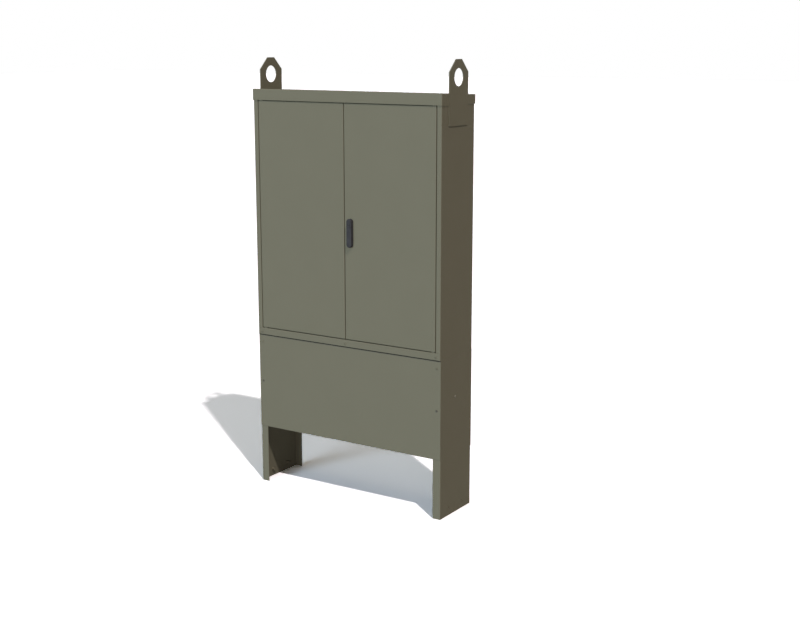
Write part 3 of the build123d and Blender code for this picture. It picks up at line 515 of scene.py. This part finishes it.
def make_screws(shade_darkened_screw_paint, paint, flake_and_highlight, zinc):
    """Every visible screw with its socket; the covers' upper ones are coated with the rail behind them, and
    the lower ones take the darker coat of painted shade.
    """
    size = (SCREW_HEAD_RADIUS, SCREW_HEAD_HEIGHT, SCREW_SHANK_RADIUS, SCREW_LENGTH)
    low, high = inset_box("cover_screws", (SCREW_HEAD_RADIUS, SCREW_HEAD_HEIGHT, SCREW_HEAD_RADIUS))
    for cover, side, y in (("front", -1, low[1]), ("rear", 1, high[1])):
        # The lower row takes the darker screw coat, a painted shade round the heads
        for row, z, finish in (("lower", low[2], shade_darkened_screw_paint), ("upper", high[2], paint)):
            places = [(x, y, z) for x in (low[0], high[0])]
            pair = screws(f"{cover}_cover_{row}_screws", places, (0, side, 0), size)
            dress(pair, "cabinet", ["cover_screws"], finish)

    low, high = inset_box("sill_screws", (SCREW_HEAD_RADIUS, SCREW_HEAD_HEIGHT, SCREW_HEAD_RADIUS))
    places = [(x, low[1], low[2]) for x in np.linspace(low[0], high[0], SILL_SCREW_COUNT)]
    sill = screws("sill_socket_screws", places, (0, -1, 0), size)
    dress(sill, "cabinet", ["sill_screws"], paint)

    low, high = inset_box("clamp_rail_screws", (SCREW_HEAD_HEIGHT, SCREW_HEAD_RADIUS, SCREW_HEAD_RADIUS))
    left = screws("left_clamp_rail_screw", [(low[0], low[1], low[2])], (-1, 0, 0), size)
    right = screws("right_clamp_rail_screw", [(high[0], low[1], low[2])], (1, 0, 0), size)
    # The clamp rail's screws take the paler flake coat, partly a painted highlight on their heads
    dress(left, "cabinet", ["clamp_rail_screws"], flake_and_highlight)
    dress(right, "cabinet", ["clamp_rail_screws"], flake_and_highlight)

    low, high = inset_box("handle_screws", (SCREW_HEAD_RADIUS, SCREW_HEAD_HEIGHT, SCREW_HEAD_RADIUS))
    size = (SCREW_HEAD_RADIUS, SCREW_HEAD_HEIGHT, SCREW_SHANK_RADIUS, HANDLE_SCREW_LENGTH)
    places = [(low[0], high[1], z) for z in (low[2], high[2])]
    handle = screws("handle_socket_screws", places, (0, 1, 0), size)
    dress(handle, "right_door", ["handle_screws"], zinc)

    low, high = inset_box("earth_screws", (EARTH_HEAD_RADIUS, EARTH_HEAD_HEIGHT, EARTH_HEAD_RADIUS))
    size = (EARTH_HEAD_RADIUS, EARTH_HEAD_HEIGHT, EARTH_SHANK_RADIUS, EARTH_SCREW_LENGTH)
    places = [(x, low[1], low[2]) for x in np.linspace(low[0], high[0], EARTH_SCREW_COUNT)]
    earth = screws("earth_socket_screws", places, (0, -1, 0), size)
    dress(earth, "cabinet", ["earth_screws"], zinc)


def make_seals(foam_and_painted_shade):
    """The two doors' foam seals, and the dark strips of painted shade in the two covers' joints."""
    for side in ("left", "right"):
        node = f"{side}_door_gasket"
        seal = foam_seal(f"{side}_door_foam_seal", node)
        dress(seal, f"{side}_door", [node], foam_and_painted_shade)
    for place, side in (("front", -1), ("rear", 1)):
        # These strips are painted shade: dark rubber where the joint is only in shadow
        strip = painted_shade_strip(f"{place}_cover_joint_strip", f"base_{place}_cover", side)
        dress(strip, "cabinet", [], foam_and_painted_shade)


def make_modules(plastic):
    """The columns of connection modules."""
    for column in range(1, MODULE_COLUMNS + 1):
        node = f"connection_modules_{column}"
        modules = wiring_modules(f"wiring_modules_{column}", node)
        dress(modules, "cabinet", [node], plastic)


def paint_nodes(finishes):
    """Gives each solid of the frame the finish that its name calls for."""
    for finish, names in finishes:
        for name in names.split():
            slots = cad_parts[name].data.materials
            slots.clear()
            slots.append(finish)


def seen_directly(tree):
    """1 for rays from the camera, a mirror or a clear piece, and 0 for light that scatters."""
    path = add(tree, "LightPath").outputs
    mirrored = add(tree, "Math", {0: path["Is Camera Ray"], 1: path["Is Glossy Ray"]}, operation="MAXIMUM")
    seen = add(tree, "Math", {0: mirrored.outputs[0], 1: path["Is Transmission Ray"]}, operation="MAXIMUM")
    return seen.outputs[0]


def light_sky():
    """An overhead sky whose strength rises by a power of the height, white where it is seen itself."""
    world = bpy.data.worlds.new("studio_sky")
    bpy.context.scene.world = world
    world.use_nodes = True
    tree = world.node_tree
    tree.nodes.clear()
    direction = add(tree, "TexCoord").outputs["Generated"]
    height = add(tree, "SeparateXYZ", {"Vector": direction}).outputs["Z"]
    upper = add(tree, "Math", {0: height, 1: 0.0}, operation="MAXIMUM").outputs[0]
    faded = add(tree, "Math", {0: upper, 1: SKY_FADE}, operation="POWER").outputs[0]
    strength = add(tree, "Math", {0: faded, 1: SKY_OVERHEAD}, operation="MULTIPLY").outputs[0]
    light = add(tree, "Background", {"Color": linear(SKY_COLOUR), "Strength": strength}).outputs[0]
    white = add(tree, "Background", {"Color": linear(WHITE), "Strength": 1.0}).outputs[0]
    mixed = add(tree, "MixShader", {0: seen_directly(tree), 1: light, 2: white}).outputs[0]
    add(tree, "OutputWorld", {"Surface": mixed})


def lay_floor():
    """A plain ground that takes the shadow, shows white, and throws little light back on the cabinet."""
    half = FLOOR_HALF_SIZE
    mesh = bpy.data.meshes.new("floor")
    corners = [(-half, -half, 0), (half, -half, 0), (half, half, 0), (-half, half, 0)]
    mesh.from_pydata(corners, [], [(0, 1, 2, 3)])
    floor = bpy.data.objects.new("floor", mesh)
    bpy.context.scene.collection.objects.link(floor)
    material = bpy.data.materials.new("white_studio_ground")
    material.use_nodes = True
    tree = material.node_tree
    tree.nodes.clear()
    brightened = [FLOOR_SHOWN_GAIN * part for part in linear(FLOOR_SHOWN)]
    shown = add(tree, "BsdfDiffuse", {"Color": brightened}).outputs[0]
    bounce = add(tree, "BsdfDiffuse", {"Color": linear(FLOOR_BOUNCE)}).outputs[0]
    mixed = add(tree, "MixShader", {0: seen_directly(tree), 1: bounce, 2: shown}).outputs[0]
    add(tree, "OutputMaterial", {"Surface": mixed})
    mesh.materials.append(material)


def light_cabinet():
    """The sun and the three broad fills."""
    for name, (code, strength, travel, spread) in FAR_LAMPS.items():
        data = bpy.data.lights.new(name, "SUN")
        data.color = linear(code)[:3]
        data.energy = strength
        data.angle = math.radians(spread)
        lamp = bpy.data.objects.new(name, data)
        lamp.rotation_euler = Vector(travel).to_track_quat("-Z", "Y").to_euler()
        bpy.context.scene.collection.objects.link(lamp)


def place_camera():
    """The camera at the picture's angle."""
    data = bpy.data.cameras.new("camera")
    data.sensor_width = SENSOR_WIDTH_MM
    data.lens = FOCAL_PX * SENSOR_WIDTH_MM / IMAGE_WIDTH_PX
    camera = bpy.data.objects.new("camera", data)
    camera.location = CAMERA_PLACE
    camera.rotation_euler = (math.radians(90 - CAMERA_DIP_DEG), 0, math.radians(CAMERA_TURN_DEG))
    bpy.context.scene.collection.objects.link(camera)
    bpy.context.scene.camera = camera


bpy.context.scene.view_settings.view_transform = "Standard"
place_camera()
light_sky()
light_cabinet()
lay_floor()

coat = powder_coated_steel()
zinc = zinc_plated_steel()
shade_darkened_screw_coat = screw_steel_with_painted_shade()
flake_coat_and_highlight = flake_coated_steel_and_highlight()
paint_nodes([
    (coat, "left_leg right_leg front_base_rail rear_base_rail base_front_cover base_rear_cover floor_tray "
           "left_side_panel right_side_panel back_panel top_tray centre_post roof left_lifting_lug "
           "right_lifting_lug left_door right_door left_door_stiffener right_door_stiffener sill_screws"),
    (galvanised_steel(), "cable_clamp_rail gland_plate roof_supports left_upright right_upright "
                         "lower_mounting_rail upper_mounting_rail module_frame_1 module_frame_2 "
                         "module_frame_3 module_frame_4 left_bolt_guides rod_guides"),
    (zinc, "frame_bolts left_upper_bolt left_lower_bolt handle_screws lever_pin lock_cam cam_screw "
           "upper_lock_rod lower_lock_rod earth_screws"),
    (shade_darkened_screw_coat, "cover_screws"),
    (flake_coat_and_highlight, "clamp_rail_screws"),
    (coated_pin_steel(), "hinge_pins"),
    (moulded_rubber(), "cable_grommets"),
    (handle_polyamide(), "handle_base handle_hub handle_lever"),
    (bush_acetal(), "left_hinge_bushes right_hinge_bushes"),
    (drawn_copper(), "earth_bar"),
    (insulator_resin(), "earth_bar_supports"),
])
make_screws(shade_darkened_screw_coat, coat, flake_coat_and_highlight, zinc)
make_seals(cellular_rubber_and_painted_shade())
make_modules(module_polyester())
